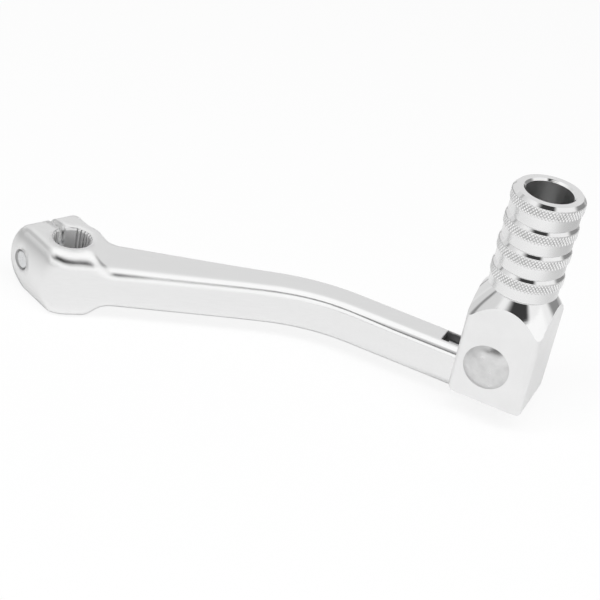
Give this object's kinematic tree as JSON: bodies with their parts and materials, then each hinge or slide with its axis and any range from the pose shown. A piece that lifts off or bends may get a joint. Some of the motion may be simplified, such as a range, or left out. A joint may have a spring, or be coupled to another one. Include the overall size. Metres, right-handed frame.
{
  "type": "gear shift lever",
  "caption": "Forged gear shift lever with a splined clamp boss, a cranked arm and a spring-loaded toe peg that folds back on a rivet pin; the peg has knurled rings.",
  "frame": {"origin": "centre of the splined bore at mid height", "axes": "+Z along the bore, to the side the toe peg points to; +X along the straight first stretch of the arm"},
  "size_m": [0.1554, 0.0603, 0.0706],
  "materials": {
    "forged_aluminium": "polished forging",
    "zinc_steel": "bright zinc plate",
    "turned_aluminium": "fine satin, turned and knurled",
    "rivet_steel": "domed and tumbled",
    "spring_wire": "drawn wire, plain"
  },
  "bodies": {
    "lever": {"lever_arm": "forged_aluminium", "pinch_bolt": "zinc_steel", "return_spring": "spring_wire"},
    "tip": {"folding_tip": "turned_aluminium", "pivot_pin": "rivet_steel"}
  },
  "joints": [
    {"name": "tip_fold", "type": "hinge", "parent": "lever", "child": "tip", "pos_m": [0.12264, -0.02651, 0.0085], "axis": [-0.4555, -0.8902, 0], "range_deg": [0, 60], "stiffness_Nm_per_rad": 0.15, "springref_deg": -45.84, "deforming": ["return_spring"]}
  ]
}
